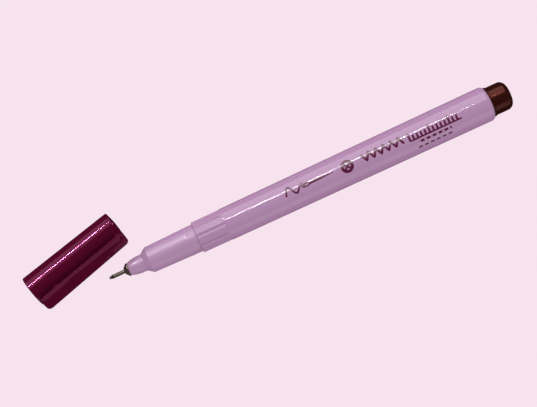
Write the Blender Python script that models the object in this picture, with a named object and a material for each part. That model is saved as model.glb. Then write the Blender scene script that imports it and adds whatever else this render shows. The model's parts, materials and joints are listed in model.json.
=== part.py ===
"""Fine-line fabric marking pen, shown uncapped with its clip cap lying beside the nose.

Frame: metres, +Z up. The pen's axis is the X axis. The origin is the centre of the end plug's
flat rear face, and the tip points towards -X. The cap has its own frame, whose origin is the
centre of its mouth, with +X towards its closed end and the clip on the +Z side before it is rolled.
"""

import math

import bmesh
import bpy
from mathutils import Euler, Vector

MM = 0.001

# Gaps between pieces that touch on the real pen, and running fits of the small pieces
JOINT_GAP = 0.30 * MM
FIT_GAP = 0.25 * MM
FINE_GAP = 0.10 * MM

# Smoothness of the turned pieces
BODY_SIDES = 60
CORE_SIDES = 36
FINE_SIDES = 20
FILLET_STEPS = 4
SMOOTH_BELOW = math.radians(32)

# End plug
PLUG_RADIUS = 4.50 * MM
PLUG_LENGTH = 6.50 * MM
PLUG_EDGE = 2.00 * MM
PLUG_FLANGE_LIP = 0.22 * MM
PLUG_FLANGE_LENGTH = 0.55 * MM
PLUG_FLANGE_EDGE = 0.12 * MM
PLUG_SHANK_LENGTH = 7.50 * MM
PLUG_WALL = 1.10 * MM
PLUG_FLOOR = 1.60 * MM
PLUG_LEAD = 0.50 * MM

# Barrel
BARREL_LENGTH = 96.60 * MM
BARREL_REAR_RADIUS = 5.45 * MM
BARREL_FRONT_RADIUS = 4.95 * MM
BARREL_WALL = 0.80 * MM
BARREL_REAR_EDGE_LENGTH = 1.35 * MM
BARREL_REAR_EDGE_DEPTH = 0.85 * MM
BARREL_FRONT_EDGE = 0.25 * MM
SOCKET_SPARE_LENGTH = 0.40 * MM

# Grip grooves at the front of the barrel
GRIP_LENGTH = 9.30 * MM
GRIP_DROP = 0.10 * MM
GRIP_STEP_LENGTH = 0.20 * MM
GROOVE_COUNT = 10
GROOVE_CUTTER_RADIUS = 0.55 * MM
GROOVE_DEPTH = 0.32 * MM
GROOVE_SIDES = 12
GROOVE_TURN = math.radians(5)

# Front section: the cap seat, its shoulder and the nose
SEAT_STEP = 0.60 * MM
SEAT_LENGTH = 15.30 * MM
SEAT_TAPER = 0.35 * MM
SHOULDER_LENGTH = 1.80 * MM
SHOULDER_DROP = 1.35 * MM
NOSE_LENGTH = 5.00 * MM
NOSE_TIP_WALL = 0.65 * MM
NOSE_CURVE = 2.8
NOSE_STEPS = 6
SECTION_SHANK_STEP = 0.40 * MM
SECTION_SHANK_LENGTH = 12.00 * MM
SECTION_SHANK_WALL = 0.75 * MM
SECTION_WEB_LENGTH = 8.00 * MM

# Metal collar, needle tube and nib
COLLAR_LIP = 0.20 * MM
COLLAR_EDGE_LENGTH = 0.25 * MM
COLLAR_CONE_LENGTH = 0.95 * MM
COLLAR_FACE_WIDTH = 0.40 * MM
COLLAR_STEM_WALL = 0.40 * MM
COLLAR_STEM_LENGTH = 5.50 * MM
NEEDLE_RADIUS = 0.60 * MM
NEEDLE_WALL = 0.20 * MM
NEEDLE_EXPOSED = 4.10 * MM
NEEDLE_EDGE = 0.10 * MM
NIB_EXPOSED = 0.80 * MM
NIB_DOME = 0.20 * MM
NIB_ROD_RADIUS = 0.80 * MM
NIB_ROD_REACH = 7.00 * MM

# Ink reservoir and its film sleeve
FILM_WALL = 0.25 * MM
RESERVOIR_FRONT_SPACE = 0.60 * MM
RESERVOIR_REAR_SPACE = 0.60 * MM
RESERVOIR_HOLE_EXTRA = 1.00 * MM
RESERVOIR_SETBACK = 0.30 * MM

# Cap
CAP_TAPER = 0.30 * MM
CAP_EDGE = 0.30 * MM
CAP_END_WALL = 1.20 * MM
CAP_CLOSED_WALL = 0.85 * MM
CAP_SEAT_CLEARANCE = 0.06 * MM
CAP_LEDGE_PAST_SEAT = 0.70 * MM
CAP_NIB_CLEARANCE = 0.85 * MM
LINER_NOSE_CLEARANCE = 0.20 * MM
LINER_FLOOR = 0.70 * MM
LINER_LEAD = 0.35 * MM

# Clip
CLIP_SETBACK = 0.60 * MM
CLIP_FREE_WIDTH = 6.10 * MM
CLIP_ROOT_WIDTH = 5.40 * MM
CLIP_FREE_RISE = 2.40 * MM
CLIP_ROOT_RISE = 1.75 * MM
CLIP_THICKNESS = 1.30 * MM
CLIP_CORNER = 1.50 * MM
CLIP_CORNER_STEPS = 5
CLIP_ROOT_LENGTH = 2.40 * MM
CLIP_ROOT_WRAP = 1.20 * MM
CLIP_BUMP_FROM_FREE_END = 6.20 * MM
CLIP_BUMP_HALF_LENGTH = 1.40 * MM
CLIP_HINGE_FROM_END = 1.20 * MM

# Where the cap lies: its closed end beside the seat, turned away from the pen
CAP_END_BEHIND_NIB = 8.43 * MM
CAP_SIDE_SPACE = 5.00 * MM
CAP_YAW = math.radians(14.2)
CAP_ROLL = math.radians(48)

# Radii of the pieces that fit over and into each other
barrel_bore_radius = BARREL_FRONT_RADIUS - BARREL_WALL
seat_rear_radius = BARREL_FRONT_RADIUS - SEAT_STEP
seat_front_radius = seat_rear_radius - SEAT_TAPER
socket_radius = seat_rear_radius - SECTION_SHANK_STEP
cap_mouth_radius = BARREL_FRONT_RADIUS
cap_closed_radius = cap_mouth_radius - CAP_TAPER

# Stations along the pen, measured from the plug's rear face towards the tip
barrel_rear = PLUG_LENGTH + JOINT_GAP
barrel_front = barrel_rear + BARREL_LENGTH
section_rear = barrel_front + JOINT_GAP
seat_front = section_rear + SEAT_LENGTH
nose_rear = seat_front + SHOULDER_LENGTH
nose_front = nose_rear + NOSE_LENGTH
collar_rear = nose_front + FINE_GAP
collar_front = collar_rear + COLLAR_EDGE_LENGTH + COLLAR_CONE_LENGTH
needle_front = collar_front + NEEDLE_EXPOSED
nib_front = needle_front + NIB_EXPOSED
section_shank_rear = barrel_front - SECTION_SHANK_LENGTH
nib_guide_front = nose_front - COLLAR_STEM_LENGTH - FINE_GAP
nib_guide_rear = nib_guide_front - SECTION_WEB_LENGTH

# Cap length and place
cap_reach = nib_front - barrel_front
cap_length = cap_reach + CAP_NIB_CLEARANCE + LINER_FLOOR + FIT_GAP + CAP_END_WALL
cap_axis_height = cap_mouth_radius - BARREL_REAR_RADIUS
cap_end_x = CAP_END_BEHIND_NIB - nib_front
cap_end_y = seat_front_radius + cap_closed_radius + CAP_SIDE_SPACE

# Radii of the small pieces
collar_bore_radius = NEEDLE_RADIUS + FINE_GAP
collar_stem_radius = collar_bore_radius + COLLAR_STEM_WALL
collar_hole_radius = collar_stem_radius + FINE_GAP
nose_front_radius = collar_hole_radius + NOSE_TIP_WALL
nose_rear_radius = seat_front_radius - SHOULDER_DROP
collar_radius = nose_front_radius + COLLAR_LIP
collar_face_radius = collar_bore_radius + COLLAR_FACE_WIDTH
nib_radius = NEEDLE_RADIUS - NEEDLE_WALL - FINE_GAP
nib_dome = min(NIB_DOME, 0.7 * nib_radius)
nib_guide_radius = NIB_ROD_RADIUS + FINE_GAP
section_shank_radius = socket_radius - FIT_GAP
film_radius = barrel_bore_radius - FIT_GAP
reservoir_radius = film_radius - FILM_WALL - FINE_GAP
liner_bore_radius = cap_closed_radius - CAP_CLOSED_WALL
liner_radius = liner_bore_radius - FIT_GAP


def clear_scene():
    for obj in list(bpy.data.objects):
        bpy.data.objects.remove(obj, do_unlink=True)


def plain_material(name, colour, roughness, metallic=0.0):
    material = bpy.data.materials.new(name)
    material.use_nodes = True
    shader = material.node_tree.nodes["Principled BSDF"]
    shader.inputs["Base Color"].default_value = (*colour, 1.0)
    shader.inputs["Roughness"].default_value = roughness
    shader.inputs["Metallic"].default_value = metallic
    material.diffuse_color = (*colour, 1.0)
    return material


def lilac_plastic():
    return plain_material("lilac_polypropylene", (0.50, 0.32, 0.52), 0.28)


def burgundy_plastic():
    return plain_material("burgundy_polypropylene", (0.10, 0.008, 0.035), 0.25)


def brown_plastic():
    return plain_material("brown_polypropylene", (0.055, 0.014, 0.010), 0.30)


def liner_plastic():
    return plain_material("natural_polyethylene", (0.72, 0.70, 0.68), 0.45)


def tip_steel():
    return plain_material("stainless_steel", (0.55, 0.53, 0.52), 0.25, 1.0)


def nib_acetal():
    return plain_material("inked_acetal", (0.030, 0.010, 0.008), 0.50)


def reservoir_fibre():
    return plain_material("inked_polyester_fibre", (0.12, 0.035, 0.020), 0.90)


def reservoir_film():
    return plain_material("clear_film", (0.80, 0.78, 0.76), 0.20)


def arc(centre, radii, start, end, steps=FILLET_STEPS):
    """Points on an ellipse quarter or less, as (station, radius), with angles in degrees."""
    points = []
    for step in range(steps + 1):
        angle = math.radians(start + (end - start) * step / steps)
        along = centre[0] + radii[0] * math.cos(angle)
        out = centre[1] + radii[1] * math.sin(angle)
        points.append((along, out))
    return points


def finished(name, mesh_builder, material):
    """Turns a bmesh into a named object with one material, shaded smooth below its sharp edges."""
    bmesh.ops.remove_doubles(mesh_builder, verts=mesh_builder.verts, dist=1e-7)
    bmesh.ops.recalc_face_normals(mesh_builder, faces=mesh_builder.faces)
    mesh = bpy.data.meshes.new(name)
    mesh_builder.to_mesh(mesh)
    mesh_builder.free()
    mesh.shade_smooth()
    mesh.set_sharp_from_angle(angle=SMOOTH_BELOW)
    if material:
        mesh.materials.append(material)
    obj = bpy.data.objects.new(name, mesh)
    bpy.context.scene.collection.objects.link(obj)
    return obj


def turned(name, outline, sides, material, closed=True, direction=-1):
    """Spins an outline of (station, radius) points about the X axis."""
    builder = bmesh.new()
    verts = [builder.verts.new((direction * along, 0.0, out)) for along, out in outline]
    edges = [builder.edges.new(pair) for pair in zip(verts, verts[1:])]
    if closed:
        edges.append(builder.edges.new((verts[-1], verts[0])))
    bmesh.ops.spin(
        builder,
        geom=verts + edges,
        cent=(0.0, 0.0, 0.0),
        axis=(1.0, 0.0, 0.0),
        angle=2 * math.pi,
        steps=sides,
        use_merge=True,
    )
    return finished(name, builder, material)


def prism(name, outline, low, high, lift, material=None):
    """Extrudes a flat outline; lift(point, depth) gives each corner's place."""
    builder = bmesh.new()
    verts = [builder.verts.new(lift(point, low)) for point in outline]
    face = builder.faces.new(verts)
    grown = bmesh.ops.extrude_face_region(builder, geom=[face])
    new_verts = [item for item in grown["geom"] if isinstance(item, bmesh.types.BMVert)]
    shift = Vector(lift((0.0, 0.0), high)) - Vector(lift((0.0, 0.0), low))
    bmesh.ops.translate(builder, verts=new_verts, vec=shift)
    return finished(name, builder, material)


def hidden_cutter(obj):
    obj.hide_render = True
    obj.display_type = "WIRE"
    return obj


def boolean(obj, cutter, operation):
    modifier = obj.modifiers.new(cutter.name, "BOOLEAN")
    modifier.operation = operation
    modifier.solver = "EXACT"
    modifier.object = cutter


def barrel_outer_radius(station):
    share = (station - barrel_rear) / BARREL_LENGTH
    return BARREL_REAR_RADIUS + (BARREL_FRONT_RADIUS - BARREL_REAR_RADIUS) * share


def end_plug():
    """Press-in plug that closes the rear of the barrel: a cup, open towards the reservoir."""
    shank_radius = barrel_bore_radius - FIT_GAP
    shank_front = barrel_rear + PLUG_SHANK_LENGTH
    flange_rear = PLUG_LENGTH - PLUG_FLANGE_LENGTH
    flange_radius = PLUG_RADIUS + PLUG_FLANGE_LIP
    outline = [(0.0, 0.0)]
    outline += arc((PLUG_EDGE, PLUG_RADIUS - PLUG_EDGE), (PLUG_EDGE, PLUG_EDGE), 180, 90)
    outline += [
        (flange_rear, PLUG_RADIUS),
        (flange_rear, flange_radius - PLUG_FLANGE_EDGE),
        (flange_rear + PLUG_FLANGE_EDGE, flange_radius),
        (PLUG_LENGTH, flange_radius),
        (PLUG_LENGTH, shank_radius),
        (shank_front - PLUG_LEAD, shank_radius),
        (shank_front, shank_radius - PLUG_LEAD),
        (shank_front, shank_radius - PLUG_WALL),
        (PLUG_FLOOR, shank_radius - PLUG_WALL),
        (PLUG_FLOOR, 0.0),
    ]
    return turned("end_plug", outline, BODY_SIDES, brown_plastic(), closed=False)


def groove_cutter():
    """One rod for each grip groove, all in one object."""
    start = barrel_front - GRIP_LENGTH
    overrun = GROOVE_CUTTER_RADIUS
    builder = bmesh.new()
    for number in range(GROOVE_COUNT):
        turn = GROOVE_TURN + 2 * math.pi * number / GROOVE_COUNT
        rings = []
        for station in (start, barrel_front + overrun):
            depth = GROOVE_DEPTH + GRIP_DROP
            out = barrel_outer_radius(station) - depth + GROOVE_CUTTER_RADIUS
            centre = Vector((-station, out * math.sin(turn), out * math.cos(turn)))
            sideways = Vector((0.0, math.cos(turn), -math.sin(turn)))
            outward = Vector((0.0, math.sin(turn), math.cos(turn)))
            ring = []
            for side in range(GROOVE_SIDES):
                angle = 2 * math.pi * side / GROOVE_SIDES
                reach = sideways * math.cos(angle) + outward * math.sin(angle)
                ring.append(builder.verts.new(centre + reach * GROOVE_CUTTER_RADIUS))
            rings.append(ring)
            builder.faces.new(ring)
        for side in range(GROOVE_SIDES):
            following = (side + 1) % GROOVE_SIDES
            corners = (rings[0][side], rings[0][following], rings[1][following], rings[1][side])
            builder.faces.new(corners)
    return hidden_cutter(finished("grip_groove_cutter", builder, None))


def barrel():
    """Tapered tube, with a socket for the front section and a ring of grip grooves."""
    rear_edge_end = barrel_rear + BARREL_REAR_EDGE_LENGTH
    rear_edge_centre = (rear_edge_end, barrel_outer_radius(rear_edge_end) - BARREL_REAR_EDGE_DEPTH)
    rear_edge = (BARREL_REAR_EDGE_LENGTH, BARREL_REAR_EDGE_DEPTH)
    grip_rear = barrel_front - GRIP_LENGTH
    front_radius = BARREL_FRONT_RADIUS - GRIP_DROP
    front_edge_centre = (barrel_front - BARREL_FRONT_EDGE, front_radius - BARREL_FRONT_EDGE)
    front_edge = (BARREL_FRONT_EDGE, BARREL_FRONT_EDGE)
    socket_rear = section_shank_rear - SOCKET_SPARE_LENGTH
    outline = [(barrel_rear, barrel_bore_radius)]
    outline += arc(rear_edge_centre, rear_edge, 180, 90, 2 * FILLET_STEPS)
    outline += [
        (grip_rear - GRIP_STEP_LENGTH, barrel_outer_radius(grip_rear - GRIP_STEP_LENGTH)),
        (grip_rear, barrel_outer_radius(grip_rear) - GRIP_DROP),
    ]
    outline += arc(front_edge_centre, front_edge, 90, 0)
    outline += [
        (barrel_front, socket_radius),
        (socket_rear, socket_radius),
        (socket_rear, barrel_bore_radius),
    ]
    tube = turned("barrel", outline, BODY_SIDES, lilac_plastic())
    boolean(tube, groove_cutter(), "DIFFERENCE")
    return tube


def front_section():
    """Cap seat, shoulder and nose in one moulding, with a shank pressed into the barrel."""
    nose_height = nose_rear_radius - nose_front_radius
    nose_curve = []
    for step in range(NOSE_STEPS + 1):
        share = step / NOSE_STEPS
        radius = nose_rear_radius - nose_height * share**NOSE_CURVE
        nose_curve.append((nose_rear + NOSE_LENGTH * share, radius))
    outline = [
        (section_shank_rear, section_shank_radius - SECTION_SHANK_WALL),
        (section_shank_rear, section_shank_radius),
        (section_rear, section_shank_radius),
        (section_rear, seat_rear_radius),
        (seat_front, seat_front_radius),
    ]
    outline += nose_curve
    outline += [
        (nose_front, collar_hole_radius),
        (nib_guide_front, collar_hole_radius),
        (nib_guide_front, nib_guide_radius),
        (nib_guide_rear, nib_guide_radius),
        (nib_guide_rear, section_shank_radius - SECTION_SHANK_WALL),
    ]
    return turned("front_section", outline, BODY_SIDES, lilac_plastic())


def nib_collar():
    """Turned metal collar: a shallow cone on a stem that is pressed into the nose."""
    outline = [
        (nose_front - COLLAR_STEM_LENGTH, collar_bore_radius),
        (nose_front - COLLAR_STEM_LENGTH, collar_stem_radius),
        (collar_rear, collar_stem_radius),
        (collar_rear, collar_radius),
        (collar_rear + COLLAR_EDGE_LENGTH, collar_radius),
        (collar_front, collar_face_radius),
        (collar_front, collar_bore_radius),
    ]
    return turned("nib_collar", outline, CORE_SIDES, tip_steel())


def needle_tube():
    """Thin steel tube that carries the nib, from behind the nose to just short of its point."""
    rear = nib_guide_front + FINE_GAP
    inner = NEEDLE_RADIUS - NEEDLE_WALL
    outline = [
        (rear, inner),
        (rear, NEEDLE_RADIUS),
        (needle_front - NEEDLE_EDGE, NEEDLE_RADIUS),
        (needle_front, NEEDLE_RADIUS - NEEDLE_EDGE),
        (needle_front, inner),
    ]
    return turned("needle_tube", outline, FINE_SIDES, tip_steel())


def nib():
    """Acetal nib: a fine point through the needle, then a thicker rod into the reservoir."""
    rod_front = nib_guide_front - FINE_GAP
    rod_rear = section_shank_rear - RESERVOIR_FRONT_SPACE - NIB_ROD_REACH
    outline = [
        (rod_rear, 0.0),
        (rod_rear, NIB_ROD_RADIUS),
        (rod_front, NIB_ROD_RADIUS),
        (rod_front, nib_radius),
        (nib_front - nib_dome, nib_radius),
        (nib_front, nib_radius - nib_dome),
        (nib_front, 0.0),
    ]
    return turned("nib", outline, FINE_SIDES, nib_acetal(), closed=False)


def ink_reservoir():
    """Polyester fibre rod, with the hole that the nib's rod is pushed into."""
    front = section_shank_rear - RESERVOIR_FRONT_SPACE - RESERVOIR_SETBACK
    rear = barrel_rear + PLUG_SHANK_LENGTH + RESERVOIR_REAR_SPACE + RESERVOIR_SETBACK
    hole_radius = NIB_ROD_RADIUS + FINE_GAP
    hole_rear = front - NIB_ROD_REACH - RESERVOIR_HOLE_EXTRA
    outline = [
        (rear, 0.0),
        (rear, reservoir_radius),
        (front, reservoir_radius),
        (front, hole_radius),
        (hole_rear, hole_radius),
        (hole_rear, 0.0),
    ]
    return turned("ink_reservoir", outline, CORE_SIDES, reservoir_fibre(), closed=False)


def reservoir_sleeve():
    """Film wrapped round the fibre rod."""
    front = section_shank_rear - RESERVOIR_FRONT_SPACE
    rear = barrel_rear + PLUG_SHANK_LENGTH + RESERVOIR_REAR_SPACE
    inner = film_radius - FILM_WALL
    outline = [(rear, inner), (rear, film_radius), (front, film_radius), (front, inner)]
    return turned("reservoir_sleeve", outline, CORE_SIDES, reservoir_film())


def cap_frame():
    """Empty on the cap's axis at its mouth, turned and rolled to where the cap lies."""
    frame = bpy.data.objects.new("cap_frame", None)
    mouth_x = cap_end_x - cap_length * math.cos(CAP_YAW)
    mouth_y = cap_end_y - cap_length * math.sin(CAP_YAW)
    frame.location = (mouth_x, mouth_y, cap_axis_height)
    frame.rotation_euler = Euler((CAP_ROLL, 0.0, CAP_YAW), "XYZ")
    bpy.context.scene.collection.objects.link(frame)
    return frame


def seat_bore(depth):
    """The cap's bore radius at a depth from its mouth: the seat's own taper and a clearance."""
    share = depth / (SEAT_LENGTH + JOINT_GAP)
    return seat_rear_radius - SEAT_TAPER * share + CAP_SEAT_CLEARANCE


def cap_outer_radius(depth):
    return cap_mouth_radius - CAP_TAPER * depth / cap_length


def cap_shell():
    """Tapered cup: a bore that grips the seat, a ledge, and a narrower bore for the liner."""
    ledge = SEAT_LENGTH + JOINT_GAP + CAP_LEDGE_PAST_SEAT
    inner_end = cap_length - CAP_END_WALL
    closed_edge_centre = (cap_length - CAP_EDGE, cap_closed_radius - CAP_EDGE)
    mouth_edge_centre = (CAP_EDGE, cap_mouth_radius - CAP_EDGE)
    outline = [
        (inner_end, 0.0),
        (inner_end, liner_bore_radius),
        (ledge, liner_bore_radius),
        (ledge, seat_bore(ledge)),
        (0.0, seat_bore(0.0)),
    ]
    outline += arc(mouth_edge_centre, (CAP_EDGE, CAP_EDGE), 180, 90)
    outline += arc(closed_edge_centre, (CAP_EDGE, CAP_EDGE), 90, 0)
    outline.append((cap_length, 0.0))
    return turned("cap_shell", outline, BODY_SIDES, burgundy_plastic(), False, 1)


def inner_cap():
    """Soft liner in the closed end, whose mouth closes round the root of the nose."""
    front = SEAT_LENGTH + JOINT_GAP + SHOULDER_LENGTH
    rear = cap_length - CAP_END_WALL - FIT_GAP
    inner = nose_rear_radius + LINER_NOSE_CLEARANCE
    outline = [
        (rear, 0.0),
        (rear, liner_radius),
        (front + LINER_LEAD, liner_radius),
        (front, liner_radius - LINER_LEAD),
        (front, inner),
        (rear - LINER_FLOOR, inner),
        (rear - LINER_FLOOR, 0.0),
    ]
    return turned("inner_cap", outline, CORE_SIDES, liner_plastic(), False, 1)


def clip_height(depth):
    """Height of the clip's outer face above the cap's axis."""
    share = (depth - CLIP_SETBACK) / (cap_length - CLIP_SETBACK)
    free_height = cap_mouth_radius + CLIP_FREE_RISE
    root_height = cap_closed_radius + CLIP_ROOT_RISE
    return free_height + (root_height - free_height) * share


def clip_under(depth):
    return clip_height(depth) - CLIP_THICKNESS


def clip_side_outline():
    """Side view of the clip: root, arm and the bump that grips cloth."""
    root_front = cap_length - CLIP_ROOT_LENGTH
    bump = CLIP_SETBACK + CLIP_BUMP_FROM_FREE_END
    bump_height = cap_outer_radius(bump) + JOINT_GAP
    before_bump = bump - CLIP_BUMP_HALF_LENGTH
    after_bump = bump + CLIP_BUMP_HALF_LENGTH
    root_bottom = cap_closed_radius - CLIP_ROOT_WRAP
    return [
        (CLIP_SETBACK, clip_height(CLIP_SETBACK)),
        (CLIP_SETBACK, clip_under(CLIP_SETBACK)),
        (before_bump, clip_under(before_bump)),
        (bump, bump_height),
        (after_bump, clip_under(after_bump)),
        (root_front, clip_under(root_front)),
        (root_front, root_bottom),
        (cap_length, root_bottom),
        (cap_length, clip_height(cap_length)),
    ]


def clip_plan_outline():
    """Plan view of the clip: a long strip, wider at its free end, with round corners."""
    corners = (
        (CLIP_SETBACK, -CLIP_FREE_WIDTH / 2, 180, 270),
        (cap_length, -CLIP_ROOT_WIDTH / 2, 270, 360),
        (cap_length, CLIP_ROOT_WIDTH / 2, 0, 90),
        (CLIP_SETBACK, CLIP_FREE_WIDTH / 2, 90, 180),
    )
    outline = []
    for along, across, start, end in corners:
        inward = CLIP_CORNER if along == CLIP_SETBACK else -CLIP_CORNER
        centre = (along + inward, across - math.copysign(CLIP_CORNER, across))
        outline += arc(centre, (CLIP_CORNER, CLIP_CORNER), start, end, CLIP_CORNER_STEPS)
    return outline


def cap_clip():
    """Clip arm with its root, trimmed to its plan and to the round of the cap."""
    half_width = max(CLIP_FREE_WIDTH, CLIP_ROOT_WIDTH)
    side = prism(
        "cap_clip",
        clip_side_outline(),
        -half_width,
        half_width,
        lambda point, depth: (point[0], depth, point[1]),
        burgundy_plastic(),
    )
    plan = prism(
        "clip_plan_cutter",
        clip_plan_outline(),
        0.0,
        2 * clip_height(CLIP_SETBACK),
        lambda point, depth: (point[0], point[1], depth),
    )
    beyond = CLIP_SETBACK
    round_outline = [
        (-beyond, 0.0),
        (-beyond, cap_outer_radius(-beyond) + FIT_GAP),
        (cap_length + beyond, cap_outer_radius(cap_length + beyond) + FIT_GAP),
        (cap_length + beyond, 0.0),
    ]
    round_cutter = turned("cap_round_cutter", round_outline, BODY_SIDES, None, False, 1)
    boolean(side, hidden_cutter(plan), "INTERSECT")
    boolean(side, hidden_cutter(round_cutter), "DIFFERENCE")
    return side, plan, round_cutter


def move_origin(obj, point):
    """Shifts a mesh so that its object's origin sits at the given point of the same frame."""
    for vert in obj.data.vertices:
        vert.co -= point
    obj.location = point


def place_cap():
    frame = cap_frame()
    pieces = [cap_shell(), inner_cap()]
    clip, *cutters = cap_clip()
    hinge = Vector((cap_length - CLIP_HINGE_FROM_END, 0.0, cap_closed_radius))
    move_origin(clip, hinge)
    for obj in (*pieces, clip, *cutters):
        obj.parent = frame


def main():
    clear_scene()
    end_plug()
    barrel()
    front_section()
    nib_collar()
    needle_tube()
    nib()
    ink_reservoir()
    reservoir_sleeve()
    place_cap()


main()
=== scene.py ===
import json
import math

import bmesh
import bpy
from mathutils import Matrix, Vector


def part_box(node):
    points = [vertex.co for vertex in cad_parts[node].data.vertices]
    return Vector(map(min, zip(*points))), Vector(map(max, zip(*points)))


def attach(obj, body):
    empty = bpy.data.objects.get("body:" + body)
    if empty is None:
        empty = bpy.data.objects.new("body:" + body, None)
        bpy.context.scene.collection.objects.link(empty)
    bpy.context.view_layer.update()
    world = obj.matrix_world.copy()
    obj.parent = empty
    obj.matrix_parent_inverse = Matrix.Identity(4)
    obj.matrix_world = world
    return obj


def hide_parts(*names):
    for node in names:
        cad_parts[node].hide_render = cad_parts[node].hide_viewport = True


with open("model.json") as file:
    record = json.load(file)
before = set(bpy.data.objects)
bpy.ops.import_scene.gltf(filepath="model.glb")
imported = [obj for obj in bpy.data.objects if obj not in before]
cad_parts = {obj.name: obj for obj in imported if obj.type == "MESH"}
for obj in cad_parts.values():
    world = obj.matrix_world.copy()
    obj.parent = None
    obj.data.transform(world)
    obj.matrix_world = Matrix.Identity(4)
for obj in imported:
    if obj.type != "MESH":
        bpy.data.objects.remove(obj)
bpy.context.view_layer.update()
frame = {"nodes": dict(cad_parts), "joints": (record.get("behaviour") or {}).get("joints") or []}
joints = {joint["name"]: joint for joint in frame["joints"]}
mm = 0.001
# points closer than this, in metres, are one point
touching = 1e-6
print("frame loaded:", len(frame["nodes"]), "nodes")


def makeActive(piece):
    bpy.ops.object.select_all(action="DESELECT")
    piece.select_set(True)
    bpy.context.view_layer.objects.active = piece


def startEdit(piece):
    makeActive(piece)
    bpy.ops.object.mode_set(mode="EDIT")


def endEdit():
    bpy.ops.object.mode_set(mode="OBJECT")


def pick(piece, part, test):
    # selects the verts, edges or faces of the mesh in edit mode that pass the test
    bpy.ops.mesh.select_mode(type=part)
    bpy.ops.mesh.select_all(action="DESELECT")
    shape = bmesh.from_edit_mesh(piece.data)
    items = {"VERT": shape.verts, "EDGE": shape.edges, "FACE": shape.faces}[part]
    for item in items:
        if test(item):
            item.select_set(True)
    shape.select_flush_mode()
    bmesh.update_edit_mesh(piece.data)


def middle(item):
    return sum((vert.co for vert in item.verts), Vector()) / len(item.verts)


def settle(piece, place=None):
    # puts the piece's place into its mesh and leaves the object at the origin
    if place is not None:
        piece.matrix_world = place @ piece.matrix_world
    makeActive(piece)
    bpy.ops.object.transform_apply(location=True, rotation=True, scale=True)


def smooth(piece, degrees=35):
    makeActive(piece)
    bpy.ops.object.shade_smooth_by_angle(angle=math.radians(degrees))


def closeUp():
    # welds what meets and turns every face outward, in edit mode
    bpy.ops.mesh.select_all(action="SELECT")
    bpy.ops.mesh.remove_doubles(threshold=touching)
    bpy.ops.mesh.normals_make_consistent(inside=False)


def metres(settings):
    return {key: value * mm for key, value in settings.items()}


def rounded(corners, steps=6, guard=0.12 * mm, reach=0.46):
    # swaps each (x, radius, rounding) corner for an arc, with a guard point beside each end of it
    # an arc takes at most the share called reach of the lines beside its corner
    outline = []
    last = len(corners) - 1
    for number, (x, radius, rounding) in enumerate(corners):
        here = Vector((x, radius))
        if rounding == 0 or number in (0, last):
            outline.append(here)
            continue
        before = Vector(corners[number - 1][:2]) - here
        after = Vector(corners[number + 1][:2]) - here
        half = before.angle(after) / 2
        cut = min(rounding / math.tan(half), reach * before.length, reach * after.length)
        start = here + before.normalized() * cut
        end = here + after.normalized() * cut
        inward = (before.normalized() + after.normalized()).normalized()
        centre = here + inward * cut / math.cos(half)
        if before.length > 3 * cut + 3 * guard:
            outline.append(start + before.normalized() * guard)
        turn = (start - centre).angle_signed(end - centre)
        for step in range(steps + 1):
            spoke = start - centre
            spoke.rotate(Matrix.Rotation(-turn * step / steps, 2))
            outline.append(centre + spoke)
        if after.length > 3 * cut + 3 * guard:
            outline.append(end + after.normalized() * guard)
    return outline


def spun(name, outline, sides, closed=True):
    # a profile drawn by extruding one vertex, then spun about the X axis
    bpy.ops.object.select_all(action="DESELECT")
    bpy.ops.mesh.primitive_plane_add(size=mm, location=(0, 0, 0))
    piece = bpy.context.active_object
    piece.name = name
    piece.data.name = name
    startEdit(piece)
    bpy.ops.mesh.select_mode(type="VERT")
    bpy.ops.mesh.select_all(action="SELECT")
    bpy.ops.mesh.merge(type="CENTER")
    bpy.ops.transform.translate(value=(outline[0].x, 0, outline[0].y))
    for before, after in zip(outline, outline[1:]):
        step = after - before
        bpy.ops.mesh.extrude_region_move(TRANSFORM_OT_translate={"value": (step.x, 0, step.y)})
    if closed:
        ends = (outline[0], outline[-1])

        def atEnd(vert):
            flat = Vector((vert.co.x, vert.co.z))
            return any((flat - end).length < 0.1 * touching for end in ends)

        pick(piece, "VERT", atEnd)
        bpy.ops.mesh.edge_face_add()
    bpy.ops.mesh.select_all(action="SELECT")
    bpy.ops.mesh.spin(steps=sides, angle=2 * math.pi, center=(0, 0, 0), axis=(1, 0, 0))
    closeUp()
    endEdit()
    smooth(piece)
    return piece


# the step and taper of the mark that a moulding gate leaves
gate = {"step": 0.1, "taper": 0.06, "rimEdge": 0.03, "floorEdge": 0.04}


def gateMark(x, radius, direction):
    # the last corners of an outline that ends in a gate mark, raised or sunk along the direction
    floor = x + direction * gate["step"] * mm
    return [(x, radius, gate["rimEdge"] * mm),
            (floor, radius - gate["taper"] * mm, gate["floorEdge"] * mm), (floor, 0, 0)]


def tint(hexColour):
    # sRGB hex to the linear colour that Blender's sockets take
    parts = [int(hexColour[i:i + 2], 16) / 255 for i in (1, 3, 5)]
    return [p / 12.92 if p <= 0.04045 else ((p + 0.055) / 1.055) ** 2.4 for p in parts] + [1.0]


def newMaterial(name):
    # the material's tree, its shader and the Object coordinates that every pattern uses
    material = bpy.data.materials.new(name)
    material.use_nodes = True
    tree = material.node_tree
    place = addNode(tree, "ShaderNodeTexCoord", {}).outputs["Object"]
    return material, tree, tree.nodes["Principled BSDF"], place


def addNode(tree, kind, settings, links=None):
    # settings are the node's own properties or its input values, by name or number
    node = tree.nodes.new(kind)
    for key, value in settings.items():
        if isinstance(key, str) and hasattr(node, key):
            setattr(node, key, value)
        else:
            node.inputs[key].default_value = value
    for key, source in (links or {}).items():
        tree.links.new(source, node.inputs[key])
    return node


def noise(tree, place, size, detail, **more):
    # a pattern whose blots are about size mm across
    settings = {"Scale": 1 / (size * mm), "Detail": detail, **more}
    return addNode(tree, "ShaderNodeTexNoise", settings, {"Vector": place}).outputs["Fac"]


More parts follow.
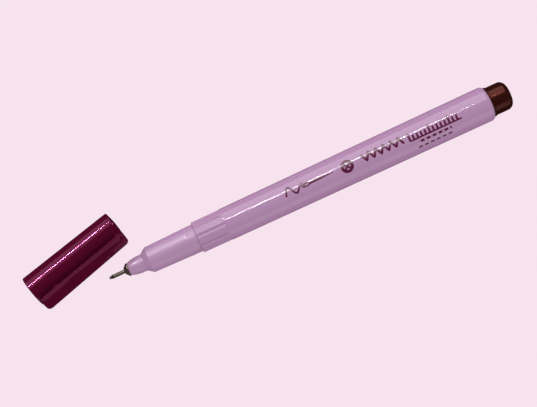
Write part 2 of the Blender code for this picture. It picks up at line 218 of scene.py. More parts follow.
def blend(tree, share, low, high):
    settings = {"data_type": "RGBA", 6: tint(low), 7: tint(high)}
    return addNode(tree, "ShaderNodeMix", settings, {0: share}).outputs[2]


def relief(tree, height, depth, under=None, strength=1.0):
    # a bump that is depth mm high, over another bump where there is one
    links = {"Height": height}
    if under is not None:
        links["Normal"] = under
    settings = {"Strength": strength, "Distance": depth * mm}
    return addNode(tree, "ShaderNodeBump", settings, links).outputs["Normal"]


def dress(piece, material):
    piece.data.materials.clear()
    piece.data.materials.append(material)


def alongX(node):
    low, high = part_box(node)
    return low[0], high[0]


def halfHeight(node):
    low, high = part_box(node)
    return (high[2] - low[2]) / 2


# places, read from the frame
barrelFront, barrelRear = alongX("barrel")
noseFront = alongX("front_section")[0]
collarFront, collarBack = alongX("nib_collar")
needleFront = alongX("needle_tube")[0]
nibFront, nibRodRear = alongX("nib")
plugFront, plugRear = alongX("end_plug")
barrelRearRadius = halfHeight("barrel")
floorHeight = -barrelRearRadius

alongCap = -Vector(joints["cap_slide"]["axis"]).normalized()
acrossCap = Vector(joints["clip_flex"]["axis"]).normalized()
clipHinge = Vector(joints["clip_flex"]["pos_m"])


# sizes and depths in mm: mottle varies the colour, smudges the gloss, peel and grain the relief
lilacLook = {"colour": "#BA95BA", "mottleColour": "#B791B6", "mottleSize": 9.0, "smudgeSize": 14.0,
             "glossTint": "#FFFFFF", "gloss": 0.5, "glossFrom": 0.06, "glossTo": 0.12,
             "peelSize": 1.4, "peelDepth": 0.002, "grainSize": 0.16, "grainDepth": 0.0003,
             "milkiness": 0.08, "milkRadius": (1.0, 0.7, 1.0)}
satinLook = {**lilacLook, "glossFrom": 0.28, "glossTo": 0.36, "grainDepth": 0.0010}
burgundyLook = {"colour": "#580B2A", "mottleColour": "#4E0924", "mottleSize": 7.0,
                "smudgeSize": 9.0, "glossTint": "#FF7FC4", "gloss": 0.4,
                "glossFrom": 0.06, "glossTo": 0.10, "peelSize": 1.2, "peelDepth": 0.002,
                "grainSize": 0.14, "grainDepth": 0.0003, "milkiness": 0.0,
                "milkRadius": (1.0, 0.3, 0.4)}
brownLook = {"colour": "#34130E", "mottleColour": "#2D100B", "mottleSize": 5.0, "smudgeSize": 6.0,
             "glossTint": "#FF8E80", "gloss": 0.5, "glossFrom": 0.14, "glossTo": 0.22,
             "peelSize": 1.0, "peelDepth": 0.002, "grainSize": 0.12, "grainDepth": 0.0006,
             "milkiness": 0.0, "milkRadius": (1.0, 0.5, 0.4)}
linerLook = {"colour": "#DAD5CF", "mottleColour": "#D2CCC6", "mottleSize": 4.0, "smudgeSize": 5.0,
             "glossTint": "#FFFFFF", "gloss": 0.5, "glossFrom": 0.35, "glossTo": 0.45,
             "peelSize": 0.9, "peelDepth": 0.003, "grainSize": 0.10, "grainDepth": 0.0008,
             "milkiness": 0.4, "milkRadius": (1.0, 1.0, 1.0)}
plastic = {"refraction": 1.49, "mottleDetail": 3.0, "smudgeDetail": 5.0, "smudgeRoughness": 0.6,
           "peelDetail": 1.0, "grainDetail": 2.0, "milkDepth": 1.0}


# Moulded plastic: soft gloss, a faint orange peel from the tool and a slightly milky depth
def mouldedPlastic(name, look):
    material, tree, shader, place = newMaterial(name)
    mottle = noise(tree, place, look["mottleSize"], plastic["mottleDetail"])
    colour = blend(tree, mottle, look["colour"], look["mottleColour"])
    tree.links.new(colour, shader.inputs["Base Color"])
    handling = noise(tree, place, look["smudgeSize"], plastic["smudgeDetail"],
                     Roughness=plastic["smudgeRoughness"])
    gloss = addNode(tree, "ShaderNodeMapRange", {3: look["glossFrom"], 4: look["glossTo"]},
                    {0: handling})
    tree.links.new(gloss.outputs[0], shader.inputs["Roughness"])
    peel = relief(tree, noise(tree, place, look["peelSize"], plastic["peelDetail"]),
                  look["peelDepth"])
    grain = relief(tree, noise(tree, place, look["grainSize"], plastic["grainDetail"]),
                   look["grainDepth"], peel)
    tree.links.new(grain, shader.inputs["Normal"])
    shader.inputs["IOR"].default_value = plastic["refraction"]
    shader.inputs["Specular IOR Level"].default_value = look["gloss"]
    shader.inputs["Specular Tint"].default_value = tint(look["glossTint"])
    shader.inputs["Subsurface Weight"].default_value = look["milkiness"]
    shader.inputs["Subsurface Radius"].default_value = look["milkRadius"]
    shader.inputs["Subsurface Scale"].default_value = plastic["milkDepth"] * mm
    return material


steelLook = {"bright": "#8E8375", "dull": "#4A4037", "stainSize": 0.8, "stainDetail": 4.0,
             "ink": "#140908", "inkReach": 0.9, "inkFull": 0.2,
             "ringSize": 0.35, "ringDistortion": 0.6, "ringDetail": 2.0, "ringDepth": 0.002,
             "ringStrength": 0.5, "metal": 0.65, "roughness": 0.24}


# Turned stainless steel: fine rings that draw the highlight out sideways, and an inky film
def turnedSteel():
    look = steelLook
    material, tree, shader, place = newMaterial("turnedStainlessSteel")
    rings = addNode(tree, "ShaderNodeTexWave",
                    {"wave_type": "BANDS", "bands_direction": "X",
                     "Scale": 1 / (look["ringSize"] * mm), "Distortion": look["ringDistortion"],
                     "Detail": look["ringDetail"]}, {"Vector": place})
    turned = relief(tree, rings.outputs["Fac"], look["ringDepth"], strength=look["ringStrength"])
    tree.links.new(turned, shader.inputs["Normal"])
    stain = noise(tree, place, look["stainSize"], look["stainDetail"])
    colour = blend(tree, stain, look["bright"], look["dull"])
    apart = addNode(tree, "ShaderNodeSeparateXYZ", {}, {0: place})
    inked = addNode(tree, "ShaderNodeMapRange",
                    {1: needleFront + look["inkReach"] * mm, 2: needleFront + look["inkFull"] * mm,
                     3: 0.0, 4: 1.0}, {0: apart.outputs["X"]})
    stained = addNode(tree, "ShaderNodeMix", {"data_type": "RGBA", 7: tint(look["ink"])},
                      {0: inked.outputs[0], 6: colour})
    tree.links.new(stained.outputs[2], shader.inputs["Base Color"])
    shader.inputs["Metallic"].default_value = look["metal"]
    shader.inputs["Roughness"].default_value = look["roughness"]
    return material


nibLook = {"ink": "#1C0D0B", "worn": "#33201B", "soakSize": 0.25, "soakDetail": 3.0,
           "roughness": 0.5}


# Acetal nib soaked in ink: almost black brown, dull where it is worn by the cloth
def inkedAcetal():
    material, tree, shader, place = newMaterial("inkedAcetal")
    soak = noise(tree, place, nibLook["soakSize"], nibLook["soakDetail"])
    tree.links.new(blend(tree, soak, nibLook["ink"], nibLook["worn"]), shader.inputs["Base Color"])
    shader.inputs["Roughness"].default_value = nibLook["roughness"]
    return material


fibreLook = {"dark": "#4A2A22", "light": "#7A4A3C", "strandSize": 0.15, "strandDetail": 3.0,
             "stretch": 0.05, "depth": 0.05, "roughness": 0.9}


# Polyester fibre rod: fine strands along the pen, stained by the ink
def inkedFibre():
    look = fibreLook
    material, tree, shader, place = newMaterial("inkedPolyesterFibre")
    stretched = addNode(tree, "ShaderNodeMapping", {"Scale": (look["stretch"], 1.0, 1.0)},
                        {"Vector": place})
    strands = noise(tree, stretched.outputs[0], look["strandSize"], look["strandDetail"])
    tree.links.new(blend(tree, strands, look["dark"], look["light"]), shader.inputs["Base Color"])
    tree.links.new(relief(tree, strands, look["depth"]), shader.inputs["Normal"])
    shader.inputs["Roughness"].default_value = look["roughness"]
    return material


filmLook = {"colour": "#E6E2DC", "creaseSize": 3.0, "creaseDetail": 2.0, "creaseDepth": 0.05,
            "roughness": 0.12, "clearness": 0.8}


# Thin clear film: glossy, slightly creased
def clearFilm():
    look = filmLook
    material, tree, shader, place = newMaterial("clearPolyesterFilm")
    creases = noise(tree, place, look["creaseSize"], look["creaseDetail"])
    tree.links.new(relief(tree, creases, look["creaseDepth"]), shader.inputs["Normal"])
    shader.inputs["Base Color"].default_value = tint(look["colour"])
    shader.inputs["Roughness"].default_value = look["roughness"]
    shader.inputs["Transmission Weight"].default_value = look["clearness"]
    return material


inkLook = {"dark": "#560C36", "light": "#641440", "coverSize": 0.6, "coverDetail": 4.0,
           "roughness": 0.25, "height": 0.02, "smoothBelow": 60}


# Pad-printed ink: a thin film, a little duller than the plastic, with slightly uneven cover
def padPrintInk():
    look = inkLook
    material, tree, shader, place = newMaterial("padPrintInk")
    cover = noise(tree, place, look["coverSize"], look["coverDetail"])
    tree.links.new(blend(tree, cover, look["dark"], look["light"]), shader.inputs["Base Color"])
    shader.inputs["Roughness"].default_value = look["roughness"]
    return material


lilacPlastic = mouldedPlastic("lilacPolypropylene", lilacLook)
satinPlastic = mouldedPlastic("satinLilacPolypropylene", satinLook)
burgundyPlastic = mouldedPlastic("burgundyPolypropylene", burgundyLook)
brownPlastic = mouldedPlastic("brownPolypropylene", brownLook)
linerPlastic = mouldedPlastic("naturalPolyethylene", linerLook)
steel = turnedSteel()
nibPlastic = inkedAcetal()
fibre = inkedFibre()
film = clearFilm()
printInk = padPrintInk()
print("materials made")


# gripRows are where rows of points lie in front of the grip's rear end, for the grooves to bend;
# grooveRows are how far each band of rows reaches and how deep its grooves are
barrel = {"sides": 240, "frontRadius": 4.95, "rearEdgeLength": 1.35, "rearEdgeDepth": 0.85,
          "rearEdgeSteps": 12, "bore": 4.15, "socket": 3.95, "socketLength": 12.4, "lead": 0.1,
          "gripLength": 9.3, "gripDrop": 0.10, "gripStep": 0.30, "frontEdge": 0.25, "spare": 0.2,
          "gripRows": (-0.02, 0.25, 0.5, 0.75, 1.0), "wallShares": (0.2, 0.4, 0.6, 0.8),
          "grooves": 10, "grooveTurn": 3.4, "grooveDepth": 0.34, "skin": 0.3,
          "grooveColumns": (1.0, 0.97, 0.8, 0.4, 0.08),
          "grooveRows": ((0.13, 0.37, 0.35), (0.37, 0.63, 0.8), (0.63, 9.31, 1.0)),
          "smoothBelow": 40}


def barrelRadius(x):
    share = (barrelRear - x) / (barrelRear - barrelFront)
    return barrelRearRadius + (barrel["frontRadius"] * mm - barrelRearRadius) * share


def makeBarrel():
    gripRear = barrelFront + barrel["gripLength"] * mm
    drop = barrel["gripDrop"] * mm
    spare = barrel["spare"] * mm
    lead = barrel["lead"] * mm
    socket = barrel["socket"] * mm
    bore = barrel["bore"] * mm
    edgeStart = barrelRear - barrel["rearEdgeLength"] * mm
    depth = barrel["rearEdgeDepth"] * mm

    def onWall(x, below=0):
        return Vector((x, barrelRadius(x) - below))

    outline = []
    for step in range(barrel["rearEdgeSteps"] + 1):
        angle = math.radians(90 * step / barrel["rearEdgeSteps"])
        outline.append(Vector((edgeStart + barrel["rearEdgeLength"] * mm * math.cos(angle),
                               barrelRadius(edgeStart) - depth + depth * math.sin(angle))))
    outline.append(onWall(edgeStart - spare))
    for share in barrel["wallShares"]:
        outline.append(onWall(edgeStart + (gripRear - edgeStart) * share))
    stepRear = gripRear + barrel["gripStep"] * mm
    outline += [onWall(stepRear + spare), onWall(stepRear)]
    outline += [onWall(gripRear - row * mm, drop) for row in barrel["gripRows"]]
    lastRow = outline[-1]
    corners = [(lastRow.x, lastRow.y, 0),
               (barrelFront, barrel["frontRadius"] * mm - drop, barrel["frontEdge"] * mm),
               (barrelFront, socket + lead, 0)]
    outline += rounded(corners)[1:]
    socketRear = barrelFront + barrel["socketLength"] * mm
    outline += [Vector((barrelFront + lead, socket)), Vector((socketRear, socket)),
                Vector((socketRear, bore)), Vector((barrelRear, bore))]
    piece = spun("barrelTube", outline, barrel["sides"])
    cutGrooves(piece, gripRear)
    smooth(piece, barrel["smoothBelow"])
    dress(piece, lilacPlastic)
    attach(piece, "pen")
    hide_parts("barrel")


def cutGrooves(piece, gripRear):
    # each groove is a few columns of vertices drawn in towards the axis, fading out at its rear end
    column = 360 / barrel["sides"]
    pitch = 360 / barrel["grooves"]
    skin = (barrel["socket"] + barrel["skin"]) * mm
    startEdit(piece)
    for high, low, fade in barrel["grooveRows"]:
        for away, share in enumerate(barrel["grooveColumns"]):
            def inGroove(vert):
                out = math.hypot(vert.co.y, vert.co.z)
                if not gripRear - low * mm < vert.co.x <= gripRear - high * mm or out < skin:
                    return False
                turn = math.degrees(math.atan2(vert.co.y, vert.co.z)) - barrel["grooveTurn"]
                off = abs((turn + pitch / 2) % pitch - pitch / 2)
                return abs(off - away * column) < column / 2
            pick(piece, "VERT", inGroove)
            scale = 1 - barrel["grooveDepth"] * share * fade / barrel["frontRadius"]
            bpy.ops.transform.resize(value=(1, scale, scale), center_override=(0, 0, 0))
    endEdit()


makeBarrel()
print("barrel made")


section = {"sides": 160, "seatRear": 4.35, "seatFront": 4.0, "seatLength": 15.6,
           "shoulderLength": 1.8, "shoulderEdge": 0.45, "noseRear": 2.65, "noseFront": 1.85,
           "noseLength": 5.0, "noseEdge": 0.35, "noseCurve": 2.8, "tipEdge": 0.12,
           "shank": 3.72, "shankLength": 12.0, "shankLead": 0.3, "bore": 2.9,
           "collarHole": 1.2, "collarHoleLength": 5.6, "guide": 0.9, "guideLength": 8.0,
           "gap": 0.02, "seatEdge": 0.05, "beadAt": 3.05, "beadHeight": 0.07, "beadLength": 0.9}
sectionSteps = {"bead": 8, "nose": 12, "tipEdge": 4}


def makeFrontSection():
    s = metres(section)
    seatFront = barrelFront - s["seatLength"]
    noseRear = seatFront - s["shoulderLength"]
    shankRear = barrelFront + s["shankLength"]
    stepFront = barrelFront - s["gap"]

    def seatRadius(x):
        share = (barrelFront - x) / s["seatLength"]
        return s["seatRear"] + (s["seatFront"] - s["seatRear"]) * share

    outline = [Vector((shankRear, s["bore"])), Vector((shankRear, s["shank"] - s["shankLead"])),
               Vector((shankRear - s["shankLead"], s["shank"])), Vector((stepFront, s["shank"])),
               Vector((stepFront, s["seatRear"] - s["seatEdge"])),
               Vector((stepFront - s["seatEdge"], s["seatRear"]))]
    # a low bead near the step is what clicks into the cap
    for step in range(sectionSteps["bead"] + 1):
        share = step / sectionSteps["bead"]
        x = barrelFront - s["beadAt"] + s["beadLength"] * (0.5 - share)
        height = s["beadHeight"] * math.sin(math.pi * share) ** 2
        outline.append(Vector((x, seatRadius(x) + height)))
    corners = [(outline[-1].x, outline[-1].y, 0), (seatFront, s["seatFront"], s["shoulderEdge"]),
               (noseRear, s["noseRear"], s["noseEdge"])]
    nose = []
    for step in range(1, sectionSteps["nose"] + 1):
        share = step / sectionSteps["nose"]
        fall = (s["noseRear"] - s["noseFront"]) * share ** section["noseCurve"]
        nose.append((noseRear - s["noseLength"] * share, s["noseRear"] - fall, 0))
    outline += rounded(corners + nose[:1])[1:-1]
    outline += [Vector(point[:2]) for point in nose[:-1]]
    tipEdge = [nose[-2], (noseFront, s["noseFront"], s["tipEdge"]), (noseFront, s["collarHole"], 0)]
    outline += rounded(tipEdge, steps=sectionSteps["tipEdge"], guard=0.05 * mm)[1:]
    guideFront = noseFront + s["collarHoleLength"]
    guideRear = guideFront + s["guideLength"]
    outline += [Vector((guideFront, s["collarHole"])), Vector((guideFront, s["guide"])),
                Vector((guideRear, s["guide"])), Vector((guideRear, s["bore"]))]
    piece = spun("noseSection", outline, section["sides"])
    dress(piece, satinPlastic)
    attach(piece, "pen")
    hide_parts("front_section")


makeFrontSection()
print("front section made")


collar = {"radius": 2.05, "rimLength": 0.25, "rimEdge": 0.05, "coneEdge": 0.08, "face": 0.95,
          "bore": 0.62, "boreLead": 0.1, "boreEdge": 0.04, "stem": 1.1, "gap": 0.02}
needle = {"radius": 0.60, "wall": 0.16, "edge": 0.07, "boreEdge": 0.05, "hollow": 1.0}
nib = {"radius": 0.42, "dome": 0.26, "rod": 0.8, "rodEdge": 0.05, "rodStart": 0.2}
tipSides = {"collar": 96, "needle": 64, "nib": 48}


def makeCollar():
    s = metres(collar)
    rimBack = noseFront - s["gap"]
    rimFront = rimBack - s["rimLength"]
    corners = [(collarBack, s["bore"], 0), (collarBack, s["stem"], 0), (rimBack, s["stem"], 0),
               (rimBack, s["radius"], s["rimEdge"]), (rimFront, s["radius"], s["coneEdge"]),
               (collarFront, s["face"], s["coneEdge"]),
               (collarFront, s["bore"] + s["boreLead"], s["boreEdge"]),
               (collarFront + s["boreLead"], s["bore"], 0)]
    outline = rounded(corners, steps=4, guard=0.03 * mm)
    piece = spun("tipCollar", outline, tipSides["collar"])
    dress(piece, steel)
    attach(piece, "pen")
    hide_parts("nib_collar")


def makeNeedle():
    s = metres(needle)
    inner = s["radius"] - s["wall"]
    corners = [(collarBack, inner, 0), (collarBack, s["radius"], 0),
               (needleFront, s["radius"], s["edge"]), (needleFront, inner, s["boreEdge"]),
               (needleFront + s["hollow"], inner, 0)]
    outline = rounded(corners, steps=4, guard=0.04 * mm)
    piece = spun("needleSleeve", outline, tipSides["needle"])
    dress(piece, steel)
    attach(piece, "pen")
    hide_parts("needle_tube")


def makeNib():
    s = metres(nib)
    rodFront = collarBack + s["rodStart"]
    corners = [(nibRodRear, 0, 0), (nibRodRear, s["rod"], s["rodEdge"]),
               (rodFront, s["rod"], s["rodEdge"]), (rodFront, s["radius"], 0),
               (nibFront, s["radius"], s["dome"]), (nibFront, 0, 0)]
    outline = rounded(corners, steps=5, guard=0.04 * mm)
    piece = spun("nibRod", outline, tipSides["nib"], closed=False)
    dress(piece, nibPlastic)
    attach(piece, "pen")
    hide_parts("nib")


makeCollar()
makeNeedle()
makeNib()
print("tip made")


plug = {"sides": 160, "radius": 4.5, "edge": 2.0, "flange": 4.71, "flangeLength": 0.5,
        "flangeEdge": 0.24, "flangeRearEdge": 0.12, "rootEdge": 0.06, "gap": 0.22,
        "shank": 3.95, "shankLead": 0.4, "wall": 1.1, "rimEdge": 0.1, "floor": 1.6,
        "dishRadius": 1.8, "dishDepth": 0.18, "dishTaper": 0.15, "dishEdge": 0.12,
        "gateRadius": 0.55}


def makePlug():
    s = metres(plug)
    flangeFront = barrelRear + s["gap"]
    flangeRear = flangeFront + s["flangeLength"]
    inner = s["shank"] - s["wall"]
    inside = plugRear - s["floor"]
    dish = plugRear - s["dishDepth"]
    corners = [(inside, 0, 0), (inside, inner, 0), (plugFront, inner, s["rimEdge"]),
               (plugFront, s["shank"], s["shankLead"]), (flangeFront, s["shank"], 0),
               (flangeFront, s["flange"], s["flangeEdge"]),
               (flangeRear, s["flange"], s["flangeRearEdge"]),
               (flangeRear, s["radius"], s["rootEdge"]), (plugRear, s["radius"], s["edge"]),
               (plugRear, s["dishRadius"], s["dishEdge"]),
               (dish, s["dishRadius"] - s["dishTaper"], s["dishEdge"])]
    corners += gateMark(dish, s["gateRadius"], 1)
    outline = rounded(corners, steps=9, guard=0.06 * mm, reach=0.78)
    piece = spun("rearPlug", outline, plug["sides"], closed=False)
    dress(piece, brownPlastic)
    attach(piece, "pen")
    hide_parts("end_plug")


makePlug()
print("end plug made")


# the cap, its liner and its clip are modelled along X from the mouth, then laid in their place
cap = {"sides": 160, "length": 31.6, "mouth": 4.95, "closed": 4.65, "edge": 0.32,
       "mouthBore": 4.41, "mouthLead": 0.15, "ledgeBore": 4.06, "ledgeAt": 16.3, "ledgeEdge": 0.05,
       "linerBore": 3.8, "endWall": 1.2, "floorEdge": 0.3, "endEdge": 0.5, "domeHeight": 0.35,
       "domeEdge": 6.0, "gateRadius": 0.5, "hingeFromEnd": 1.2}
capDome = {"radiusShare": 0.4, "heightShare": 0.16}
liner = {"sides": 96, "front": 17.4, "back": 30.15, "outer": 3.62, "outerEdge": 0.25,
         "inner": 2.85, "rimEdge": 0.15, "lead": 0.35, "floor": 0.7, "floorEdge": 0.3}

upCap = alongCap.cross(acrossCap)
capPlace = Matrix((alongCap, acrossCap, upCap)).transposed().to_4x4()
capPlace.translation = (clipHinge - alongCap * (cap["length"] - cap["hingeFromEnd"]) * mm
                        - upCap * cap["closed"] * mm)


def makeCapShell():
    s = metres(cap)
    end = s["length"]
    inside = end - s["endWall"]
    corners = [(inside, 0, 0), (inside, s["linerBore"], s["floorEdge"]),
               (s["ledgeAt"], s["linerBore"], s["ledgeEdge"]),
               (s["ledgeAt"], s["ledgeBore"], s["ledgeEdge"]), (0, s["mouthBore"], s["mouthLead"]),
               (0, s["mouth"], s["edge"]), (end - s["domeHeight"], s["closed"], s["endEdge"]),
               (end - s["domeHeight"] * capDome["heightShare"],
                s["closed"] * capDome["radiusShare"], s["domeEdge"])]
    corners += gateMark(end, s["gateRadius"], -1)
    outline = rounded(corners, guard=0.1 * mm)
    piece = spun("capShell", outline, cap["sides"], closed=False)
    settle(piece, capPlace)
    dress(piece, burgundyPlastic)
    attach(piece, "cap")
    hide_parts("cap_shell")


def makeLiner():
    s = metres(liner)
    floor = s["back"] - s["floor"]
    corners = [(s["back"], 0, 0), (s["back"], s["outer"], s["outerEdge"]),
               (s["front"], s["outer"], s["lead"]), (s["front"], s["inner"], s["rimEdge"]),
               (floor, s["inner"], s["floorEdge"]), (floor, 0, 0)]
    outline = rounded(corners, steps=5, guard=0.08 * mm)
    piece = spun("sealLiner", outline, liner["sides"], closed=False)
    settle(piece, capPlace)
    dress(piece, linerPlastic)
    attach(piece, "cap")
    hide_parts("inner_cap")


makeCapShell()
makeLiner()
print("cap made")


clip = {"setback": 0.6, "freeWidth": 6.1, "rootWidth": 5.4, "freeTop": 7.35, "rootTop": 6.4,
        "thickness": 1.3, "corner": 1.5, "edge": 0.24, "rootLength": 2.4, "rootBottom": 3.72,
        "rootDepth": 1.0, "bumpAt": 6.8, "bumpHalf": 1.3, "bumpBottom": 5.12,
        "leadLength": 1.6, "leadRise": 0.45}
clipShape = {"innerShare": 0.72, "rootShare": 0.6, "cornerSteps": 8, "edgeSteps": 4,
             "sharpAbove": 35, "smoothBelow": 30}


def makeClip():
    s = metres(clip)
    free = s["setback"]
    root = cap["length"] * mm
    rootFront = root - s["rootLength"]
    bpy.ops.object.select_all(action="DESELECT")
    bpy.ops.mesh.primitive_cube_add(size=mm, location=(0, 0, 0))
    piece = bpy.context.active_object
    piece.name = "clipArm"
    piece.data.name = "clipArm"

    def armMiddle(x):
        rise = (s["rootTop"] - s["freeTop"]) * (x - free) / (root - free)
        return s["freeTop"] + rise - s["thickness"] / 2

    def onUnderside(vert, x):
        return abs(vert.co.x - x) < touching and vert.co.z < armMiddle(vert.co.x)

    def upright(edge):
        a, b = edge.verts[0].co, edge.verts[1].co
        return abs(a.x - b.x) < touching and abs(a.y - b.y) < touching

    startEdit(piece)
    bpy.ops.mesh.select_all(action="SELECT")
    size = ((root - free) / mm, s["rootWidth"] / mm, s["thickness"] / mm)
    bpy.ops.transform.resize(value=size, center_override=(0, 0, 0))
    bpy.ops.transform.translate(value=((root + free) / 2, 0, s["rootTop"] - s["thickness"] / 2))
    # the free end is wider and stands higher
    pick(piece, "VERT", lambda vert: vert.co.x < (root + free) / 2)
    wider = s["freeWidth"] / s["rootWidth"]
    bpy.ops.transform.resize(value=(1, wider, 1), center_override=(free, 0, 0))
    bpy.ops.transform.translate(value=(0, 0, s["freeTop"] - s["rootTop"]))
    # rounds the four corners of its plan
    pick(piece, "EDGE", upright)
    bpy.ops.mesh.bevel(offset=s["corner"], segments=clipShape["cornerSteps"], affect="EDGES")
    # cuts across the arm for the root, the bump and the lead at the free end
    cuts = (rootFront, s["bumpAt"] - s["bumpHalf"], s["bumpAt"], s["bumpAt"] + s["bumpHalf"],
            free + s["leadLength"])
    for x in cuts:
        bpy.ops.mesh.select_all(action="SELECT")
        bpy.ops.mesh.bisect(plane_co=(x, 0, 0), plane_no=(1, 0, 0))
    # narrows the underside, and draws the bump and the lead from it
    pick(piece, "VERT", lambda vert: vert.co.z < armMiddle(vert.co.x))
    bpy.ops.transform.resize(value=(1, clipShape["innerShare"], 1), center_override=(0, 0, 0))
    pick(piece, "VERT", lambda vert: onUnderside(vert, s["bumpAt"]))
    bumpDrop = s["bumpBottom"] - armMiddle(s["bumpAt"]) + s["thickness"] / 2
    bpy.ops.transform.translate(value=(0, 0, bumpDrop))
    leadRear = free + s["leadLength"] - touching
    shape = bmesh.from_edit_mesh(piece.data)
    leadPlaces = sorted({round(vert.co.x, 7) for vert in shape.verts if vert.co.x < leadRear})
    for x in leadPlaces:
        pick(piece, "VERT", lambda vert: onUnderside(vert, x))
        rise = s["leadRise"] * (1 - (x - free) / s["leadLength"])
        bpy.ops.transform.translate(value=(0, 0, rise))
    # the root block, down into the cap's wall
    pick(piece, "FACE", lambda face: face.normal.z < -0.5 and middle(face).x > rootFront)
    bpy.ops.mesh.extrude_region_move(TRANSFORM_OT_translate={"value": (0, 0, -s["rootDepth"])})
    bpy.ops.transform.resize(value=(1, 1, 0), center_override=(root, 0, s["rootBottom"]))
    bpy.ops.transform.resize(value=(1, clipShape["rootShare"], 1), center_override=(0, 0, 0))
    # softens every sharp edge
    bpy.ops.mesh.select_all(action="DESELECT")
    bpy.ops.mesh.edges_select_sharp(sharpness=math.radians(clipShape["sharpAbove"]))
    bpy.ops.mesh.bevel(offset=s["edge"], segments=clipShape["edgeSteps"], affect="EDGES",
                       clamp_overlap=True)
    closeUp()
    endEdit()
    smooth(piece, clipShape["smoothBelow"])
    settle(piece, capPlace)
    dress(piece, burgundyPlastic)
    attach(piece, "clip")
    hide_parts("cap_clip")


makeClip()
print("clip made")


# the inner pieces keep their solids and get their finish
for nodeName, finish in (("ink_reservoir", fibre), ("reservoir_sleeve", film)):
    dress(frame["nodes"][nodeName], finish)


# the print: generic sewing marks, drawn flat and wrapped round the barrel
# places are in mm from the plug's rear face, and across from the top line towards +Y
needleMark = {"tip": -58.6, "eye": -67.7, "across": 0.75, "width": 0.85, "shaftGap": 0.5,
              "shaftStart": 1.1, "taper": 0.8, "eyeSize": (1.25, 0.5), "eyeWidth": 0.45}
threadMark = {"start": 0.2, "length": 6.6, "swing": 1.7, "waves": 3.2, "points": 60, "width": 0.6}
buttonMark = {"centre": (-54.3, 0.5), "radius": 1.55, "rim": 0.95, "bar": 0.62, "steps": 40}
zigzagMark = {"from": -49.3, "to": -36.0, "across": 0.75, "height": 2.4, "count": 11,
              "width": 0.72}
gaugeMark = {"from": -34.0, "to": -17.1, "across": 0.6, "height": 2.6, "step": 1.3,
             "width": 0.68, "baseWidth": 0.5, "baseGap": 1.0, "longEvery": 5, "shortShare": 0.62}
stitchMark = {"length": 1.25, "pitch": 1.95, "gap": 0.6,
              "rows": ((-31.1, -20.9, -1.95, 0.75), (-32.2, -20.9, -3.65, 0.6))}


def stroke(points, width, widths=None):
    # a round-ended stroke of ink through the points, flattened to a film
    bpy.ops.object.select_all(action="DESELECT")
    bpy.ops.curve.primitive_nurbs_path_add(location=(0, 0, 0))
    line = bpy.context.active_object
    line.data.splines.clear()
    spline = line.data.splines.new("POLY")
    spline.points.add(len(points) - 1)
    for number, (x, y) in enumerate(points):
        spline.points[number].co = (x * mm, y * mm, 0, 1)
        spline.points[number].radius = widths[number] if widths else 1.0
    line.data.bevel_depth = width * mm / 2
    line.data.bevel_resolution = 2
    line.data.use_fill_caps = True
    bpy.ops.object.convert(target="MESH")
    mark = bpy.context.active_object
    startEdit(mark)
    bpy.ops.mesh.select_all(action="SELECT")
    flat = 2 * inkLook["height"] / width
    bpy.ops.transform.resize(value=(1, 1, flat), center_override=(0, 0, 0))
    endEdit()
    return mark


def between(start, end, gap=0.25):
    count = max(1, round(math.dist(start, end) / gap))
    return [(start[0] + (end[0] - start[0]) * i / count, start[1] + (end[1] - start[1]) * i / count)
            for i in range(count + 1)]


def ring(centre, radiusX, radiusY, steps=28):
    turns = [2 * math.pi * i / steps for i in range(steps + 1)]
    return [(centre[0] + radiusX * math.cos(t), centre[1] + radiusY * math.sin(t)) for t in turns]


def needleAndThread():
    n, t = needleMark, threadMark
    shaft = between((n["eye"] + n["shaftStart"], n["across"]), (n["tip"], n["across"]),
                    n["shaftGap"])
    taper = [1.0 - n["taper"] * (i / (len(shaft) - 1)) ** 2 for i in range(len(shaft))]
    eye = ring((n["eye"], n["across"]), *n["eyeSize"])
    thread = []
    for i in range(t["points"]):
        share = i / (t["points"] - 1)
        swing = t["swing"] * math.sin(share * t["waves"] * math.pi) * share ** 0.5
        thread.append((n["eye"] - t["start"] - t["length"] * share, n["across"] + swing))
    return [stroke(shaft, n["width"], taper), stroke(eye, n["eyeWidth"]),
            stroke(thread, t["width"])]


def fourHoleButton():
    b = buttonMark
    marks = [stroke(ring(b["centre"], b["radius"], b["radius"], b["steps"]), b["rim"])]
    reach = b["radius"] / math.sqrt(2)
    for lean in (-1, 1):
        start = (b["centre"][0] - reach, b["centre"][1] - lean * reach)
        end = (b["centre"][0] + reach, b["centre"][1] + lean * reach)
        marks.append(stroke(between(start, end), b["bar"]))
    return marks


def zigzagStitch():
    z = zigzagMark
    points = []
    for i in range(z["count"] + 1):
        x = z["from"] + (z["to"] - z["from"]) * i / z["count"]
        points.append((x, z["across"] + z["height"] / 2 * (-1) ** i))
    path = [points[0]]
    for before, after in zip(points, points[1:]):
        path += between(before, after)[1:]
    return [stroke(path, z["width"])]


def seamGauge():
    g = gaugeMark
    base = g["across"] - g["height"] / 2
    baseLine = between((g["from"], base), (g["to"], base), g["baseGap"])
    marks = [stroke(baseLine, g["baseWidth"])]
    for i in range(int((g["to"] - g["from"]) / g["step"]) + 1):
        x = g["from"] + i * g["step"]
        tall = g["height"] if i % g["longEvery"] == 0 else g["height"] * g["shortShare"]
        marks.append(stroke(between((x, base), (x, base + tall)), g["width"]))
    return marks


def runningStitches():
    marks = []
    for start, end, across, width in stitchMark["rows"]:
        x = start
        while x < end:
            stitchEnd = min(x + stitchMark["length"], end)
            stitch = between((x, across), (stitchEnd, across), stitchMark["gap"])
            marks.append(stroke(stitch, width))
            x += stitchMark["pitch"]
    return marks


